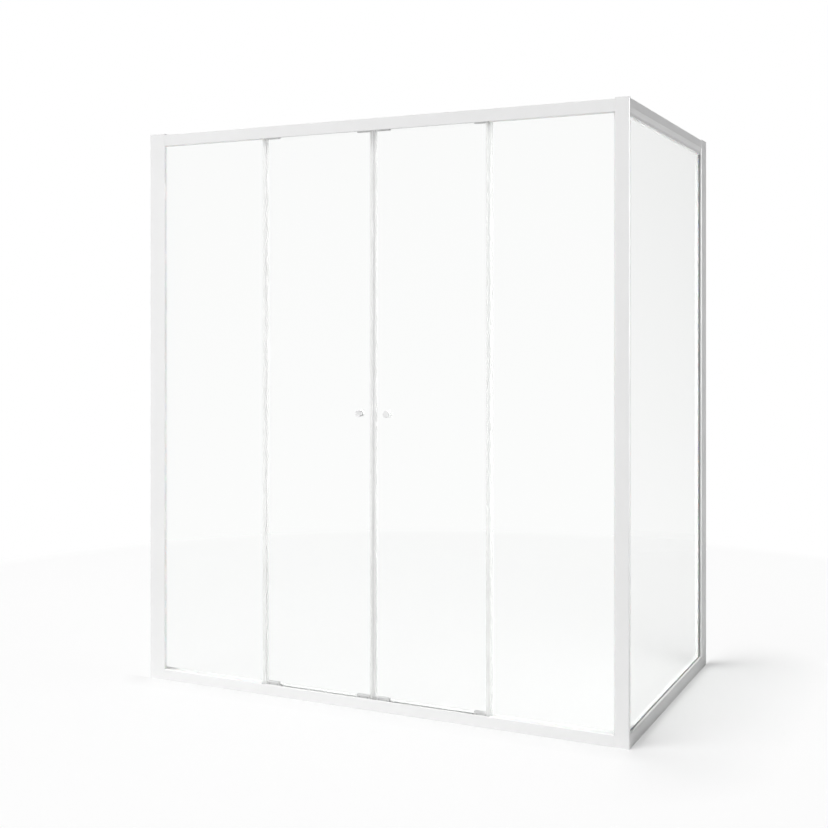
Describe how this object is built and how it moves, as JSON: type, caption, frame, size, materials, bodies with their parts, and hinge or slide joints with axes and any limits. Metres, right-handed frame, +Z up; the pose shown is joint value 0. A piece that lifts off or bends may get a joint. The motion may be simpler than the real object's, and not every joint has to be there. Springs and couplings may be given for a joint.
{
  "type": "corner shower screen",
  "caption": "White framed corner shower enclosure with clear glass: sliding doors that meet in the middle of the front between fixed panes, and a fixed side pane.",
  "frame": {"origin": "middle of the bounding box, on the floor", "axes": "+X along the front from the left wall to the corner post, +Y from the front into the shower to the rear wall, +Z up"},
  "size_m": [1.677, 0.987, 1.853],
  "materials": {
    "white_paint": "satin white powder coat",
    "clear_glass": "clear toughened glass",
    "pale_gasket": "matt",
    "dark_gasket": "matt",
    "seal_strip": "clear, faintly milky",
    "grey_plastic": "moulded",
    "white_plastic": "moulded",
    "wheel_nylon": "turned",
    "screw_steel": "plain",
    "magnet_core": "matt"
  },
  "bodies": {
    "fixed_frame": {"wall_profile_left": "white_paint", "wall_profile_rear": "white_paint", "left_stile": "white_paint", "rear_stile": "white_paint", "corner_post": "white_paint", "front_top_rail": "white_paint", "front_bottom_rail": "white_paint", "side_top_rail": "white_paint", "side_bottom_rail": "white_paint", "left_stile_cap": "white_plastic", "rear_stile_cap": "white_plastic", "post_cap": "white_plastic", "left_fixed_glass": "clear_glass", "right_fixed_glass": "clear_glass", "side_glass": "clear_glass", "left_gaskets": "pale_gasket", "right_gaskets": "pale_gasket", "side_dark_gasket": "dark_gasket", "side_pale_gasket": "pale_gasket", "left_fixed_strip": "seal_strip", "right_fixed_strip": "seal_strip", "frame_screws": "screw_steel", "adjusting_screws": "screw_steel", "door_buffers": "dark_gasket"},
    "left_door": {"left_door_glass": "clear_glass", "left_meeting_strip": "seal_strip", "left_magnet": "magnet_core", "left_back_strip": "seal_strip", "left_axles": "screw_steel", "left_carrier_screws": "screw_steel", "left_outer_knob": "white_plastic", "left_inner_knob": "white_plastic", "left_knob_stud": "screw_steel", "left_knob_bushes": "seal_strip", "left_top_lead_carrier": "grey_plastic", "left_top_back_carrier": "grey_plastic", "left_bottom_lead_carrier": "grey_plastic", "left_bottom_back_carrier": "grey_plastic"},
    "left_top_lead_wheel": {"left_top_lead_wheel": "wheel_nylon"},
    "left_top_back_wheel": {"left_top_back_wheel": "wheel_nylon"},
    "left_bottom_lead_wheel": {"left_bottom_lead_wheel": "wheel_nylon"},
    "left_bottom_back_wheel": {"left_bottom_back_wheel": "wheel_nylon"},
    "right_door": {"right_door_glass": "clear_glass", "right_meeting_strip": "seal_strip", "right_magnet": "magnet_core", "right_back_strip": "seal_strip", "right_axles": "screw_steel", "right_carrier_screws": "screw_steel", "right_outer_knob": "white_plastic", "right_inner_knob": "white_plastic", "right_knob_stud": "screw_steel", "right_knob_bushes": "seal_strip", "right_top_lead_carrier": "grey_plastic", "right_top_back_carrier": "grey_plastic", "right_bottom_lead_carrier": "grey_plastic", "right_bottom_back_carrier": "grey_plastic"},
    "right_top_lead_wheel": {"right_top_lead_wheel": "wheel_nylon"},
    "right_top_back_wheel": {"right_top_back_wheel": "wheel_nylon"},
    "right_bottom_lead_wheel": {"right_bottom_lead_wheel": "wheel_nylon"},
    "right_bottom_back_wheel": {"right_bottom_back_wheel": "wheel_nylon"}
  },
  "joints": [
    {"name": "left_door_slide", "type": "slide", "parent": "fixed_frame", "child": "left_door", "axis": [-1, 0, 0], "range_m": [0, 0.318]},
    {"name": "left_top_lead_wheel_spin", "type": "hinge", "parent": "left_door", "child": "left_top_lead_wheel", "pos_m": [-0.026, -0.456, 1.8318], "axis": [0, 1, 0], "range_deg": [-2300, 2300]},
    {"name": "left_top_back_wheel_spin", "type": "hinge", "parent": "left_door", "child": "left_top_back_wheel", "pos_m": [-0.3575, -0.456, 1.8318], "axis": [0, 1, 0], "range_deg": [-2300, 2300]},
    {"name": "left_bottom_lead_wheel_spin", "type": "hinge", "parent": "left_door", "child": "left_bottom_lead_wheel", "pos_m": [-0.026, -0.456, 0.0182], "axis": [0, 1, 0], "range_deg": [-2300, 2300]},
    {"name": "left_bottom_back_wheel_spin", "type": "hinge", "parent": "left_door", "child": "left_bottom_back_wheel", "pos_m": [-0.3575, -0.456, 0.0182], "axis": [0, 1, 0], "range_deg": [-2300, 2300]},
    {"name": "right_door_slide", "type": "slide", "parent": "fixed_frame", "child": "right_door", "axis": [1, 0, 0], "range_m": [0, 0.318]},
    {"name": "right_top_lead_wheel_spin", "type": "hinge", "parent": "right_door", "child": "right_top_lead_wheel", "pos_m": [0.043, -0.456, 1.8318], "axis": [0, 1, 0], "range_deg": [-2300, 2300]},
    {"name": "right_top_back_wheel_spin", "type": "hinge", "parent": "right_door", "child": "right_top_back_wheel", "pos_m": [0.3745, -0.456, 1.8318], "axis": [0, 1, 0], "range_deg": [-2300, 2300]},
    {"name": "right_bottom_lead_wheel_spin", "type": "hinge", "parent": "right_door", "child": "right_bottom_lead_wheel", "pos_m": [0.043, -0.456, 0.0182], "axis": [0, 1, 0], "range_deg": [-2300, 2300]},
    {"name": "right_bottom_back_wheel_spin", "type": "hinge", "parent": "right_door", "child": "right_bottom_back_wheel", "pos_m": [0.3745, -0.456, 0.0182], "axis": [0, 1, 0], "range_deg": [-2300, 2300]}
  ],
  "couplings": [
    {"joint": "left_top_lead_wheel_spin", "follows": "left_door_slide", "rad_per_m": -125},
    {"joint": "left_top_back_wheel_spin", "follows": "left_door_slide", "rad_per_m": -125},
    {"joint": "left_bottom_lead_wheel_spin", "follows": "left_door_slide", "rad_per_m": 125},
    {"joint": "left_bottom_back_wheel_spin", "follows": "left_door_slide", "rad_per_m": 125},
    {"joint": "right_top_lead_wheel_spin", "follows": "right_door_slide", "rad_per_m": 125},
    {"joint": "right_top_back_wheel_spin", "follows": "right_door_slide", "rad_per_m": 125},
    {"joint": "right_bottom_lead_wheel_spin", "follows": "right_door_slide", "rad_per_m": -125},
    {"joint": "right_bottom_back_wheel_spin", "follows": "right_door_slide", "rad_per_m": -125}
  ]
}
